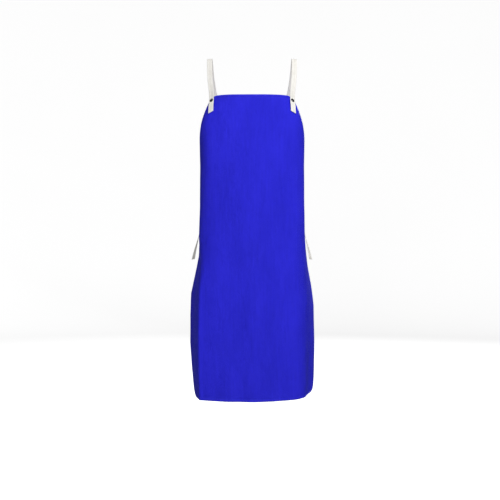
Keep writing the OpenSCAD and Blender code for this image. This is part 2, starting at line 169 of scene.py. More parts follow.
def panel_mid(s, d):
    """Mid-surface points of the worn panel, and its outward direction across the section."""
    s, d = np.broadcast_arrays(np.asarray(s, float), np.asarray(d, float))
    a = np.abs(s)
    pick = [
        np.where(s >= 0, row_value(LEFT_ROWS, d, k), row_value(RIGHT_ROWS, d, k))
        for k in range(1, 6)
    ]
    front_y, front_len, corner_r = pick[0], pick[1], pick[3]
    front_turn, side_turn = np.radians(pick[2]), np.radians(pick[4])
    front_r = front_len / front_turn
    corner_len = corner_r * (side_turn - front_turn)
    corner_turn = np.clip((a - front_len) / corner_r, 0, side_turn - front_turn)
    turn = np.where(a < front_len, a / front_r, front_turn + corner_turn)
    bend = np.minimum(turn, front_turn)
    rest = np.maximum(0, a - front_len - corner_len)
    x = front_r * np.sin(bend) + corner_r * (np.sin(turn) - np.sin(bend))
    y = front_y + front_r * (1 - np.cos(bend)) + corner_r * (np.cos(bend) - np.cos(turn))
    x = x + rest * np.cos(side_turn)
    y = y + rest * np.sin(side_turn)
    reach = np.maximum(0, CURL_REACH - (BIB_HALF - a + d) * math.sqrt(0.5))
    out = waves(s, d) - reach**2 / (2 * CURL_R)
    sign = np.where(s < 0, -1.0, 1.0)
    lift = np.where(s < 0, RIGHT_SWEEP, LEFT_SWEEP) * (a / FLAT_HALF * d / PANEL_H) ** 2
    return np.stack(
        [sign * (x + np.sin(turn) * out), y - np.cos(turn) * out, lift - BIB_DROP - d], axis=-1
    )


def panel_normal(s, d):
    """Outward unit normal of the worn panel."""
    step = 2.0
    across = panel_mid(np.asarray(s) + step, d) - panel_mid(np.asarray(s) - step, d)
    up = panel_mid(s, np.asarray(d) - step) - panel_mid(s, np.asarray(d) + step)
    n = np.cross(across, up)
    return n / np.linalg.norm(n, axis=-1, keepdims=True)


def panel_point(s, d, out):
    """Points that stand out from the mid-surface."""
    return panel_mid(s, d) + panel_normal(s, d) * np.asarray(out, float)[..., None]


def side_depths(inset=0.0):
    """Depths down one side of the cut, close together round its corners."""
    top = BIB_CORNER_R * (1 - np.cos(np.linspace(0, math.pi / 2, 13)))
    hem = PANEL_H - inset - HEM_CORNER_R * (1 - np.cos(np.linspace(math.pi / 2, 0, 25)))
    straight = np.linspace(inset + BIB_CORNER_R, PANEL_H - inset - HEM_CORNER_R, 150)
    return np.concatenate([inset + top[:-1], straight, hem[1:]])


def outline(inset=0.0):
    """The flat cut's edge as a closed loop of (s, d), clockwise seen from the front."""
    d = side_depths(inset)
    right = half_width(d, inset)
    top = np.linspace(-right[0], right[0], 50)[1:-1]
    hem = np.linspace(right[-1], -right[-1], 60)[1:-1]
    parts = [
        np.stack([top, np.full(len(top), inset)], -1),
        np.stack([right, d], -1),
        np.stack([hem, np.full(len(hem), PANEL_H - inset)], -1),
        np.stack([-right[::-1], d[::-1]], -1),
    ]
    return np.concatenate(parts)


def even_loop(points, pitch):
    """A closed loop's points, placed again at an even pitch."""
    closed = np.vstack([points, points[:1]])
    length = np.concatenate([[0], np.cumsum(np.linalg.norm(np.diff(closed, axis=0), axis=1))])
    count = int(length[-1] / pitch)
    at = np.arange(count) * length[-1] / count
    return np.stack([np.interp(at, length, closed[:, k]) for k in (0, 1)], -1)


def edge_distance(s, d):
    """Distance of flat positions from the cut's edge."""
    loop = even_loop(outline(), 6.0)
    a, b = loop, np.roll(loop, -1, axis=0)
    ab = b - a
    best = np.full(s.size, 1e9)
    p = np.stack([s.ravel(), d.ravel()], -1)
    for k in range(len(loop)):
        t = np.clip(((p - a[k]) @ ab[k]) / (ab[k] @ ab[k]), 0, 1)
        best = np.minimum(best, np.linalg.norm(p - a[k] - t[:, None] * ab[k], axis=1))
    return best.reshape(s.shape)


# ---- Meshes --------------------------------------------------------------------------------------


def make_mesh(name, points, faces, flat):
    """A smooth-shaded object from points in millimetres. flat is each point's place in its own cloth."""
    mesh = bpy.data.meshes.new(name)
    mesh.from_pydata([tuple(p) for p in np.asarray(points) * MM], [], faces)
    cloth = mesh.attributes.new("cloth", "FLOAT_VECTOR", "POINT")
    cloth.data.foreach_set("vector", np.asarray(flat, np.float32).ravel())
    uv = mesh.uv_layers.new(name="UVMap")
    corner = np.empty(len(mesh.loops), int)
    mesh.loops.foreach_get("vertex_index", corner)
    uv.data.foreach_set("uv", (np.asarray(flat, float)[corner, :2] * MM).ravel())
    mesh.validate()
    mesh.polygons.foreach_set("use_smooth", [True] * len(mesh.polygons))
    obj = bpy.data.objects.new(name, mesh)
    bpy.context.scene.collection.objects.link(obj)
    return obj


def grid_faces(rows, cols, close_rows=False, close_cols=False):
    """Quads between the points of a grid, numbered row by row."""
    faces = []
    for r in range(rows if close_rows else rows - 1):
        for c in range(cols if close_cols else cols - 1):
            r2, c2 = (r + 1) % rows, (c + 1) % cols
            faces.append((r * cols + c, r2 * cols + c, r2 * cols + c2, r * cols + c2))
    return faces


def sweep(rings, closed=False):
    """Faces of a tube through equal rings, capped at its ends unless it closes on itself."""
    rows, cols = rings.shape[:2]
    faces = grid_faces(rows, cols, close_rows=closed, close_cols=True)
    if not closed:
        faces.append(tuple(range(cols)))
        faces.append(tuple(range(rows * cols - 1, (rows - 1) * cols - 1, -1)))
    return faces


def unit(v):
    """Vectors made one unit long."""
    return v / np.linalg.norm(v, axis=-1, keepdims=True)


# Thread has a twist pattern along its points, and lies too far from an edge to be rubbed.
PLY_STEP = 0.31
UNWORN = 20.0


def capsules(name, starts, ends, outs, radius, sides=6, flatten=0.75):
    """Short stitches of thread, each between two points, as one mesh. Each arches out a little."""
    along = ends - starts
    length = np.linalg.norm(along, axis=1, keepdims=True)
    along = along / length
    side = unit(np.cross(along, outs))
    up = np.cross(side, along)
    stations = [(0.0, 0.0), (0.12, 0.75), (0.5, 1.0), (0.88, 0.75), (1.0, 0.0)]
    points, faces = [], []
    angles = np.arange(sides) * 2 * math.pi / sides
    for k in range(len(starts)):
        base = len(points)
        for share, size in stations:
            centre = starts[k] + along[k] * length[k] * share
            arch = up[k] * radius * 0.9 * (4 * share * (1 - share) - 1)
            if size == 0:
                points.append(centre + arch)
                continue
            for angle in angles:
                offset = side[k] * math.cos(angle) + up[k] * math.sin(angle) * flatten
                points.append(centre + arch + offset * radius * size)
        first, last = base, base + 1 + 3 * sides
        for i in range(sides):
            j = (i + 1) % sides
            faces.append((first, first + 1 + j, first + 1 + i))
            for ring in range(2):
                a = first + 1 + ring * sides
                faces.append((a + i, a + j, a + sides + j, a + sides + i))
            faces.append((last, last - sides + i, last - sides + j))
    flat = np.zeros((len(points), 3))
    flat[:, 0] = np.arange(len(points)) * PLY_STEP
    flat[:, 2] = UNWORN
    return make_mesh(name, points, faces, flat)


# ---- Materials -----------------------------------------------------------------------------------


class Nodes:
    """A short way to write a material's nodes."""

    def __init__(self, name):
        self.material = bpy.data.materials.new(name)
        self.material.use_nodes = True
        self.tree = self.material.node_tree
        self.shader = self.tree.nodes["Principled BSDF"]

    def add(self, kind, **settings):
        node = self.tree.nodes.new("ShaderNode" + kind)
        for key, value in settings.items():
            setattr(node, key, value)
        return node

    def link(self, out, socket):
        self.tree.links.new(out, socket)

    def cloth(self):
        """Flat position in the cloth, in millimetres."""
        return self.add("Attribute", attribute_name="cloth").outputs["Vector"]

    def place(self):
        """Position in the object, in metres."""
        return self.add("TexCoord").outputs["Object"]

    def scaled(self, vector, x, y=None, z=None):
        node = self.add("Mapping")
        node.inputs["Scale"].default_value = (x, x if y is None else y, x if z is None else z)
        self.link(vector, node.inputs["Vector"])
        return node.outputs["Vector"]

    def noise(self, vector, scale, detail=3.0, rough=0.5, distortion=0.0):
        node = self.add("TexNoise")
        node.inputs["Scale"].default_value = scale
        node.inputs["Detail"].default_value = detail
        node.inputs["Roughness"].default_value = rough
        node.inputs["Distortion"].default_value = distortion
        self.link(vector, node.inputs["Vector"])
        return node.outputs["Fac"]

    def math(self, operation, a, b=0.0, c=0.0):
        node = self.add("Math", operation=operation)
        for socket, value in zip(node.inputs, (a, b, c)):
            if isinstance(value, (int, float)):
                socket.default_value = value
            else:
                self.link(value, socket)
        return node.outputs[0]

    def split(self, vector):
        node = self.add("SeparateXYZ")
        self.link(vector, node.inputs[0])
        return node.outputs

    def remap(self, value, low, high, to_low, to_high):
        node = self.add("MapRange")
        self.link(value, node.inputs["Value"])
        node.inputs["From Min"].default_value = low
        node.inputs["From Max"].default_value = high
        node.inputs["To Min"].default_value = to_low
        node.inputs["To Max"].default_value = to_high
        return node.outputs["Result"]

    def mix(self, factor, a, b):
        node = self.add("Mix", data_type="RGBA")
        self.link(factor, node.inputs["Factor"])
        for socket, value in ((node.inputs["A"], a), (node.inputs["B"], b)):
            if isinstance(value, tuple):
                socket.default_value = (*value, 1.0)
            else:
                self.link(value, socket)
        return node.outputs["Result"]

    def bump(self, height, distance, strength=1.0, over=None):
        node = self.add("Bump")
        node.inputs["Distance"].default_value = distance
        node.inputs["Strength"].default_value = strength
        self.link(height, node.inputs["Height"])
        if over is not None:
            self.link(over, node.inputs["Normal"])
        return node.outputs["Normal"]

    def finish(self, color, roughness, normal=None, **fixed):
        self.link(color, self.shader.inputs["Base Color"])
        self.link(roughness, self.shader.inputs["Roughness"])
        if normal is not None:
            self.link(normal, self.shader.inputs["Normal"])
        for key, value in fixed.items():
            self.shader.inputs[key.replace("_", " ")].default_value = value
        return self.material


def woven(n, cloth, pitch):
    """Height of a plain weave whose threads lie a pitch apart."""
    x, y, _ = n.split(cloth)
    warp = n.math("SINE", n.math("MULTIPLY", x, 2 * math.pi / pitch))
    weft = n.math("SINE", n.math("MULTIPLY", y, 2 * math.pi / pitch))
    return n.math("MULTIPLY", warp, weft)


SHEEN_BLUE = (0.2, 0.3, 1.0, 1.0)
WEAVE_PITCH = 1.1
WORN_REACH = 16.0


def coated_fabric(name, deep, bright, worn, roughness=0.68, sheen=0.03, ribs=0.0):
    """Tightly woven nylon with a thin coating: fine weave, soft creases and rubbed edges. Its
    cloth position's z is the distance from the edge or fold that wears."""
    n = Nodes(name)
    cloth = n.cloth()
    place = n.place()
    across, _, from_edge = n.split(cloth)
    broad = n.noise(n.scaled(cloth, 1.0, 0.35, 0.0), 0.011, detail=4.0, rough=0.55)
    streak = n.noise(n.scaled(cloth, 1.0, 0.06, 0.0), 0.16, detail=2.0)
    fleck = n.noise(n.scaled(cloth, 1.0, 1.0, 0.0), 0.9, detail=3.0, rough=0.75)
    if ribs:
        thread = n.math("SINE", n.math("MULTIPLY", across, 2 * math.pi / ribs))
    else:
        thread = woven(n, cloth, WEAVE_PITCH)
    tone = n.math("MULTIPLY_ADD", streak, 0.22, n.math("MULTIPLY", broad, 0.56))
    tone = n.math("MULTIPLY_ADD", fleck, 0.22, tone)
    tone = n.math("MULTIPLY_ADD", thread, 0.11, tone)
    color = n.mix(n.remap(tone, 0.34, 0.66, 0.0, 1.0), deep, bright)
    rub = n.noise(place, 38.0, detail=6.0, rough=0.65, distortion=0.6)
    near_edge = n.remap(from_edge, 0.0, WORN_REACH, 1.0, 0.0)
    scuff = n.math("MULTIPLY", near_edge, n.remap(rub, 0.42, 0.7, 0.0, 1.0))
    color = n.mix(n.math("MULTIPLY", scuff, 0.7), color, worn)
    rough = n.remap(rub, 0.3, 0.72, roughness - 0.1, roughness + 0.1)
    crumple = n.noise(n.scaled(cloth, 1.0, 0.45, 0.0), 0.045, detail=5.0, rough=0.55, distortion=0.35)
    normal = n.bump(thread, 0.0003, 0.7)
    normal = n.bump(crumple, 0.005, 0.5, over=normal)
    n.shader.inputs["Sheen Tint"].default_value = SHEEN_BLUE
    return n.finish(
        color, rough, normal, Sheen_Weight=sheen, Sheen_Roughness=0.4, Specular_IOR_Level=0.12
    )


RIB_PITCH = 2.2
YARN_PITCH = 1.0


def herringbone(name, pale, shade):
    """Cotton webbing in a herringbone twill: two columns of slanted ribs that meet in the middle."""
    n = Nodes(name)
    cloth = n.cloth()
    x, y, _ = n.split(cloth)
    fold = n.math("ABSOLUTE", x)
    slant = n.math("ADD", n.math("MULTIPLY", fold, 1.1), y)
    ribs = n.math("SINE", n.math("MULTIPLY", slant, 2 * math.pi / RIB_PITCH))
    yarn = n.math("SINE", n.math("MULTIPLY", x, 2 * math.pi / YARN_PITCH))
    height = n.math("MULTIPLY_ADD", yarn, 0.35, ribs)
    middle = n.remap(fold, 0.0, 1.1, 0.0, 1.0)
    fuzz = n.noise(cloth, 2.2, detail=4.0, rough=0.7)
    dirt = n.noise(cloth, 0.05, detail=4.0)
    tone = n.math("MULTIPLY_ADD", ribs, 0.13, n.remap(fuzz, 0.3, 0.7, 0.3, 0.75))
    tone = n.math("MULTIPLY", tone, n.remap(middle, 0.0, 1.0, 0.35, 1.0))
    tone = n.math("MULTIPLY_ADD", dirt, 0.35, tone)
    color = n.mix(n.remap(tone, 0.2, 0.95, 0.0, 1.0), shade, pale)
    rough = n.remap(fuzz, 0.3, 0.7, 0.82, 0.95)
    normal = n.bump(height, 0.0003, 0.7)
    normal = n.bump(fuzz, 0.0004, 0.4, over=normal)
    return n.finish(
        color, rough, normal, Sheen_Weight=0.25, Sheen_Roughness=0.5, Specular_IOR_Level=0.2
    )


def hard_finish(name, deep, bright, roughness, grain, metallic=0.0, coat=0.0):
    """Moulded plastic or enamelled metal, with fine grain and handling marks."""
    n = Nodes(name)
    place = n.place()
    marks = n.noise(place, 900.0, detail=5.0, rough=0.7, distortion=1.2)
    fine = n.noise(place, 4200.0, detail=2.0)
    color = n.mix(n.remap(marks, 0.35, 0.75, 0.0, 1.0), deep, bright)
    rough = n.remap(marks, 0.3, 0.75, roughness - 0.06, roughness + 0.14)
    normal = n.bump(fine, grain, 0.5)
    return n.finish(color, rough, normal, Metallic=metallic, Coat_Weight=coat, Coat_Roughness=0.25)


def vinyl(name, deep, bright):
    """Matt lead-loaded vinyl, mottled and finely pored."""
    n = Nodes(name)
    place = n.place()
    mottle = n.noise(place, 26.0, detail=6.0, rough=0.6)
    pores = n.noise(place, 1500.0, detail=3.0)
    color = n.mix(n.remap(mottle, 0.3, 0.7, 0.0, 1.0), deep, bright)
    rough = n.remap(mottle, 0.3, 0.7, 0.55, 0.72)
    return n.finish(color, rough, n.bump(pores, 0.0001, 0.5))


WORN_BLUE = (0.045, 0.045, 0.70)
BLUE = coated_fabric("blue coated nylon", (0.0135, 0.013, 0.50), (0.022, 0.020, 0.66), WORN_BLUE)
LINING = coated_fabric("blue lining", (0.011, 0.011, 0.38), (0.017, 0.016, 0.50), WORN_BLUE, 0.56)
TAPE = coated_fabric(
    "blue binding tape", (0.015, 0.015, 0.51), (0.026, 0.024, 0.69), WORN_BLUE, 0.6, 0.08, ribs=1.3
)
THREAD = coated_fabric("blue thread", (0.03, 0.03, 0.62), (0.06, 0.06, 0.85), WORN_BLUE, ribs=0.9)
WEBBING = herringbone("cotton webbing", (0.86, 0.85, 0.82), (0.60, 0.57, 0.50))
PALE_THREAD = hard_finish("pale thread", (0.55, 0.52, 0.44), (0.8, 0.77, 0.68), 0.75, 0.00008)
LEAD = vinyl("lead vinyl", (0.10, 0.105, 0.11), (0.17, 0.175, 0.18))
ENAMEL = hard_finish(
    "black enamel", (0.006, 0.006, 0.009), (0.02, 0.02, 0.026), 0.3, 0.00002, coat=0.3
)
PLASTIC = hard_finish("black acetal", (0.008, 0.008, 0.010), (0.022, 0.022, 0.026), 0.42, 0.00006)
WIRE = hard_finish("spring wire", (0.42, 0.42, 0.43), (0.66, 0.66, 0.67), 0.24, 0.00001, metallic=1.0)


def dress(obj, material):
    """Gives an object one material."""
    obj.data.materials.clear()
    obj.data.materials.append(material)
    return obj


# ---- Panel ---------------------------------------------------------------------------------------

# The press stud's flanges press the covers together round them.
PRESS_R = 9.0
PRESS_RISE = 0.62


def cover_out(s, d):
    """How far a cover's outer face stands from the mid-surface: it dips to the bound edge, where
    the lead stops short, and meets the press stud's flanges."""
    edge = edge_distance(s, d)
    near_snap = np.hypot(np.abs(s) - SNAP_S, d - SNAP_D) / PRESS_R
    rise = (STACK_HALF - EDGE_HALF) * smooth((edge - 5) / 7)
    return EDGE_HALF + rise + PRESS_RISE * np.exp(-(near_snap**4))


def column_shares(cols):
    """Columns from edge to edge, closer together round the crease and the soft corner."""
    u = np.linspace(-1, 1, 4001)
    crease, corner = CREASE_S / FLAT_HALF, 0.6
    density = 1 + 4 * np.exp(-(((u - crease) / 0.05) ** 2)) + np.exp(-(((u - corner) / 0.15) ** 2))
    reach = np.concatenate([[0], np.cumsum((density[1:] + density[:-1]) / 2)])
    return np.interp(np.linspace(0, reach[-1], cols), reach, u)


def sheet_grid(rows, cols, inset):
    """Flat positions of a grid that fills the cut."""
    depths = side_depths(inset)
    if rows < len(depths):
        depths = np.interp(np.linspace(0, len(depths) - 1, rows), np.arange(len(depths)), depths)
    share = column_shares(cols)
    s = half_width(depths, inset)[:, None] * share[None, :]
    return s, np.broadcast_to(depths[:, None], s.shape)


def panel_layer(name, node, slot, material, inset, rows, cols, outs):
    """A closed sheet between the two offsets from the mid-surface that outs gives."""
    s, d = sheet_grid(rows, cols, inset)
    n, m = s.shape
    high, low = outs(s, d)
    points = np.concatenate([panel_point(s, d, out).reshape(-1, 3) for out in (high, low)])
    count = n * m
    front = grid_faces(n, m)
    back = [tuple(i + count for i in face[::-1]) for face in front]
    loop = (
        [c for c in range(m)]
        + [r * m + m - 1 for r in range(1, n)]
        + [(n - 1) * m + c for c in range(m - 2, -1, -1)]
        + [r * m for r in range(n - 2, 0, -1)]
    )
    rim = [(a, b, b + count, a + count) for a, b in zip(loop, loop[1:] + loop[:1])]
    flat = np.stack([s, d, edge_distance(s, d)], -1).reshape(-1, 3)
    obj = make_mesh(name, points, front + back + rim, np.concatenate([flat, flat]))
    dress(obj, material)
    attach(obj, "panel")
    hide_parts(node)
    return obj


# Each layer's two offsets from the mid-surface, the one nearer the front first.


def front_outs(s, d):
    out = cover_out(s, d)
    return out, out - COVER_T


def back_outs(s, d):
    out = cover_out(s, d)
    return COVER_T - out, -out


def lead_front_outs(s, d):
    return np.full(s.shape, LAYER_GAP / 2 + LEAD_T), np.full(s.shape, LAYER_GAP / 2)


def lead_back_outs(s, d):
    return np.full(s.shape, -LAYER_GAP / 2), np.full(s.shape, -LAYER_GAP / 2 - LEAD_T)


# Every layer has the same columns, so that none cuts its neighbour between them.
COLS = 121
COVER_GRID = (COVER_MARGIN, 186, COLS)
LEAD_GRID = (LEAD_MARGIN, 110, COLS)
front_cover = panel_layer(
    "front_cover_cloth", "front_cover", "cover_fabric", BLUE, *COVER_GRID, front_outs
)
back_cover = panel_layer(
    "back_cover_cloth", "back_cover", "lining_fabric", LINING, *COVER_GRID, back_outs
)
lead_front = panel_layer(
    "lead_front_vinyl", "lead_sheet_front", "lead_vinyl", LEAD, *LEAD_GRID, lead_front_outs
)
lead_back = panel_layer(
    "lead_back_vinyl", "lead_sheet_back", "lead_vinyl", LEAD, *LEAD_GRID, lead_back_outs
)

# The tape's folded section, as (distance in from the edge, offset from the mid-surface). A shallow
# channel holds the row of stitches.
STITCH_IN = 5.6
TAPE_HALF = [
    (BINDING_W, 1.32), (BINDING_W, 1.74), (7.6, 1.94), (6.6, 1.96), (STITCH_IN, 1.72), (4.6, 1.96),
    (2.6, 2.0), (0.6, 1.9), (-0.5, 1.4), (-0.95, 0.7),
]
TAPE_INSIDE = [(0.3, -1.0), (0.12, 0.0), (0.3, 1.0)]
TAPE_SECTION = np.array(
    TAPE_HALF + [(-1.05, 0.0)] + [(a, -b) for a, b in TAPE_HALF[::-1]] + TAPE_INSIDE
)
TAPE_PITCH = 4.0
STITCH_PITCH = 3.6
STITCH_LENGTH = 2.7
STITCH_OUT = 1.98
STITCH_R = 0.3


def edge_frames(pitch):
    """Evenly spaced flat points round the edge with their inward directions."""
    loop = even_loop(outline(), pitch)
    along = unit(np.roll(loop, -2, axis=0) - np.roll(loop, 2, axis=0))
    return loop, np.stack([-along[:, 1], along[:, 0]], -1)


def edge_binding():
    """A tape folded round the whole edge, puckered a little by its stitches."""
    loop, inward = edge_frames(TAPE_PITCH)
    pucker = 0.14 * np.sin(np.arange(len(loop)) * 2.4) + 0.1 * np.sin(np.arange(len(loop)) * 0.61)
    rings = []
    for a, b in TAPE_SECTION:
        spot = loop + inward * a
        puff = b + np.sign(b) * pucker * (0.4 if a > 1 else 0.0)
        rings.append(panel_point(spot[:, 0], spot[:, 1], puff))
    rings = np.stack(rings, axis=1)
    length = np.arange(len(loop)) * TAPE_PITCH
    flat = np.stack(
        [
            np.broadcast_to(length[:, None], rings.shape[:2]),
            np.broadcast_to(TAPE_SECTION[None, :, 0], rings.shape[:2]),
            np.broadcast_to(6 * np.abs(TAPE_SECTION[None, :, 1]), rings.shape[:2]),
        ],
        -1,
    )
    faces = sweep(rings, closed=True)
    obj = make_mesh("edge_binding_tape", rings.reshape(-1, 3), faces, flat.reshape(-1, 3))
    dress(obj, TAPE)
    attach(obj, "panel")
    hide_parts("edge_binding")


def edge_stitches():
    """The running stitch that holds the binding, on both faces."""
    loop, inward = edge_frames(STITCH_PITCH)
    step = unit(np.roll(loop, -1, axis=0) - loop) * STITCH_LENGTH
    near = loop + inward * STITCH_IN
    for face, sign in (("front", 1.0), ("back", -1.0)):
        height = np.full(len(loop), sign * STITCH_OUT)
        starts = panel_point(near[:, 0], near[:, 1], height)
        ends = panel_point(near[:, 0] + step[:, 0], near[:, 1] + step[:, 1], height)
        outs = panel_normal(near[:, 0], near[:, 1]) * sign
        obj = capsules(f"edge_stitches_{face}", starts, ends, outs, STITCH_R)
        dress(obj, THREAD)
        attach(obj, "panel")


edge_binding()
edge_stitches()

# ---- Straps --------------------------------------------------------------------------------------

STRAP_W = 20.0
STRAP_T = 1.6
# The closed press stud holds the strap's middle this far out from the panel's.
STRAP_MID = STACK_HALF + 4.6 + STRAP_T / 2
STRAP_END_DROP = 38.0
# One strap passes over the other where they cross.
CROSSING_LIFT = 3.2
# The left buckle lies at this place, along one direction and facing another.
BUCKLE_ORIGIN = np.array([184.5, 10.0, -690.0])
BUCKLE_ALONG = unit(np.array([-0.2, 0.54, 0.82]))
BUCKLE_OUT = np.array([0.93, 0.3, 0.05])
BUCKLE_OUT = unit(BUCKLE_OUT - (BUCKLE_OUT @ BUCKLE_ALONG) * BUCKLE_ALONG)
MIRROR = np.array([-1.0, 1.0, 1.0])


def on_buckle(y, z):
    """A place y along the left buckle's own length and z out of it."""
    return BUCKLE_ORIGIN + BUCKLE_ALONG * y + BUCKLE_OUT * z


# The webbing's own section: thin selvedges, two flat columns and a shallow middle groove.
WEB_TOP = [
    (-1.0, 0.0), (-0.975, 0.6), (-0.92, 0.92), (-0.8, 1.0), (-0.4, 1.0), (-0.09, 0.98), (0.0, 0.8),
    (0.09, 0.98), (0.4, 1.0), (0.8, 1.0), (0.92, 0.92), (0.975, 0.6),
]
WEB_SECTION = np.array(WEB_TOP + [(-x, -z) for x, z in WEB_TOP]) * [STRAP_W / 2, STRAP_T / 2]


def spline(points, u):
    """Catmull-Rom through points, at parameters u in units of a span."""
    p = np.asarray(points, float)
    last = len(p) - 1
    i = np.clip(np.floor(u).astype(int), 0, last - 1)
    t = (u - i)[:, None]
    a, b = p[np.maximum(0, i - 1)], p[i]
    c, e = p[i + 1], p[np.minimum(last, i + 2)]
    return 0.5 * (
        2 * b + (c - a) * t + (2 * a - 5 * b + 4 * c - e) * t**2 + (3 * b - a - 3 * c + e) * t**3
    )


# Rings along a webbing are this far apart, and a slanted cut fades out over this length.
RING_PITCH = 2.0
CUT_REACH = 12.0


def webbing(name, points, hints, start, end, left, cut=0.0, flat_from=0.0):
    """A length of webbing along a smooth curve, facing the hints. cut slants the first end."""
    fine = np.linspace(start, end, int((end - start) * 40) + 2)
    path = spline(points, fine)
    gone = np.concatenate([[0], np.cumsum(np.linalg.norm(np.diff(path, axis=0), axis=1))])
    count = max(4, int(gone[-1] / RING_PITCH))
    u = np.interp(np.linspace(0, gone[-1], count), gone, fine)
    path = spline(points, u)
    along = unit(np.gradient(path, axis=0))
    hint = spline(hints, u)
    out = unit(hint - np.sum(hint * along, axis=1, keepdims=True) * along)
    side = np.cross(along, out)
    length = np.linspace(0, gone[-1], count) + flat_from
    x, z = WEB_SECTION[:, 0], WEB_SECTION[:, 1]
    rings = path[:, None] + side[:, None] * x[None, :, None] + out[:, None] * z[None, :, None]
    slant = np.clip(1 - np.linspace(0, gone[-1], count) / CUT_REACH, 0, 1)[:, None, None]
    rings = rings + along[:, None] * slant * cut * (x[None, :, None] / STRAP_W + 0.5)
    flat = np.stack(
        [
            np.broadcast_to(x[None], rings.shape[:2]),
            np.broadcast_to(length[:, None], rings.shape[:2]),
            np.broadcast_to(z[None], rings.shape[:2]),
        ],
        -1,
    )
    if not left:
        rings = rings[:, ::-1] * MIRROR
        flat = flat[:, ::-1]
    obj = make_mesh(name, rings.reshape(-1, 3), sweep(rings), flat.reshape(-1, 3))
    return dress(obj, WEBBING), gone[-1], (path, along, side, out)


TACK_COUNT = 12
TACK_DEPTH = 1.1
TACK_R = 0.28


def bar_tacks(name, frames, rows, left, body, slant=0.0):
    """Rows of zigzag stitches across a webbing's end, on both faces. Rows are stations along it."""
    path, along, side, out = frames
    starts, ends, outs = [], [], []
    across = np.linspace(-0.42, 0.42, TACK_COUNT + 1) * STRAP_W
    for row in rows:
        for face in (1.0, -1.0):
            lift = out[row] * face * (STRAP_T / 2 + 0.05)
            zig = [
                path[row] + lift + side[row] * x + along[row] * (TACK_DEPTH * (k % 2) + slant * x)
                for k, x in enumerate(across)
            ]
            starts += zig[:-1]
            ends += zig[1:]
            outs += [out[row] * face] * TACK_COUNT
    mirror = np.ones(3) if left else MIRROR
    spots = [np.array(part) * mirror for part in (starts, ends, outs)]
    obj = capsules(name, *spots, TACK_R)
    dress(obj, PALE_THREAD)
    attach(obj, body)


END_POINTS = [
    panel_point(SNAP_S + 2, SNAP_D + STRAP_END_DROP, STRAP_MID - 2.4),
    panel_point(SNAP_S + 1, SNAP_D + STRAP_END_DROP / 2, STRAP_MID - 0.6),
    panel_point(SNAP_S, SNAP_D, STRAP_MID),
    (148, -57, -128),
    (153, -39, -86),
]
END_HINTS = [
    panel_normal(SNAP_S + 2, SNAP_D + STRAP_END_DROP),
    panel_normal(SNAP_S + 1, SNAP_D + STRAP_END_DROP / 2),
    panel_normal(SNAP_S, SNAP_D),
    (0.42, -0.8, 0.45),
    (0.26, -0.84, 0.48),
]
# Places along the strap's points: its hinge, the top of the shoulder, and where the straps cross.
HINGE_U = len(END_POINTS) - 1
SHOULDER_U = HINGE_U + 3
CROSSING = len(END_POINTS) + 8
BACK_POINTS = [
    (155.5, -20, -43), (156, -6, -13), (156, 10, STRAP_T / 2), (155, 36, -20), (150, 60, -70),
    (138, 84, -128), (112, 100, -184), (70, 109, -245), (0, 113, -345), (-70, 109, -444),
    (-120, 98, -518), (-140, 90, -549),
]
BACK_HINTS = [
    (0.2, -0.8, 0.55), (0.12, -0.6, 0.8), (0.08, 0.05, 1), (0.12, 0.8, 0.6), (0.2, 0.9, 0.3),
    (0.35, 0.93, 0.2), (0.28, 0.95, 0.15), (0.16, 0.98, 0.1), (0, 1, 0), (-0.16, 0.98, 0),
    (-0.38, 0.92, 0), (-0.52, 0.86, 0),
]

BAR_R = 1.3
# Places along the buckle: the tab's bar, the plug's bar, and where the strap's lower run starts.
TAB_BAR_Y = 28.0 + BAR_R
STRAP_BAR_Y = 77.0
LOWER_START = 106.0
# The webbing comes to a bar this far out from the buckle's middle, so a little behind it.
RUN_OUT = -1.4
# Webbing turns round a bar at this radius, through these directions.
LOOP_R = BAR_R + 0.3 + STRAP_T / 2
LOOP_TURN = [math.radians(a) for a in (-90, -135, -180, -225, -270)]
TAIL_POINTS = (
    [on_buckle(LOWER_START + 24, RUN_OUT), on_buckle(LOWER_START, RUN_OUT)]
    + [on_buckle(LOWER_START - 12, -1.8), on_buckle(STRAP_BAR_Y + 9, -2.2)]
    + [on_buckle(STRAP_BAR_Y + 3.5, -2.4)]
    + [on_buckle(STRAP_BAR_Y + LOOP_R * math.cos(a), LOOP_R * math.sin(a)) for a in LOOP_TURN]
    + [on_buckle(STRAP_BAR_Y + 3.5, 2.4), on_buckle(STRAP_BAR_Y + 10, 3.4)]
    + [on_buckle(STRAP_BAR_Y + 18, 6.5), on_buckle(STRAP_BAR_Y + 22.5, 11.5)]
    + [on_buckle(STRAP_BAR_Y + 20, 17), on_buckle(STRAP_BAR_Y + 12.5, 19.5)]
    + [(191, 59, -628), (197, 50, -645), (202, 40, -666), (207, 31, -688), (212, 24, -710)]
    + [(218, 16, -740)]
)
# These name the other side of the webbing: the side that lies inward on the lower run.
TAIL_HINTS = (
    [-BUCKLE_OUT] * 5
    + [math.cos(a) * BUCKLE_ALONG + math.sin(a) * BUCKLE_OUT for a in LOOP_TURN]
    + [BUCKLE_OUT] * 2
    + [
        math.cos(math.radians(a)) * BUCKLE_OUT + math.sin(math.radians(a)) * BUCKLE_ALONG
        for a in (-35, -70, -120, -170)
    ]
    + [(-0.93, -0.25, -0.2), (-0.92, -0.05, -0.2), (-0.9, 0.15, -0.2), (-0.9, 0.3, -0.2)]
    + [(-0.87, 0.45, -0.2), (-0.8, 0.6, -0.2)]
)


# The strap's end is cut at a slant, and its bar tack follows the cut.
END_CUT = -9.0
END_SLANT = -0.42


